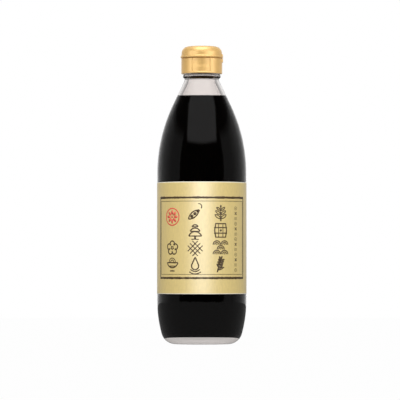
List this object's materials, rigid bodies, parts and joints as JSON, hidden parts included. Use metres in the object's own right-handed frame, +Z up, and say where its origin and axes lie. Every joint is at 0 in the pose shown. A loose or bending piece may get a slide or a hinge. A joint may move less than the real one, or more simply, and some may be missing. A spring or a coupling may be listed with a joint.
{
  "type": "soy sauce bottle",
  "caption": "Round clear glass bottle of dark soy sauce, with a long tapered shoulder, a gold paper label wrapped round it and a gold flip-top cap, shut.",
  "frame": {"origin": "middle of the foot, on the surface that the bottle stands on", "axes": "+Z up the bottle's axis; the middle of the label and the cap's thumb recess face -Y"},
  "size_m": [0.0702, 0.0702, 0.234],
  "materials": {
    "glass": "clear, polished",
    "sauce": "dark brown liquid, glossy, nearly opaque",
    "label": "satin gold paper with dark brown and red print",
    "cap": "metallic gold plastic, glossy"
  },
  "bodies": {
    "root": {"glass_bottle": "glass", "soy_sauce": "sauce", "label": "label", "cap_base": "cap", "cap_lid": "cap"}
  },
  "joints": []
}
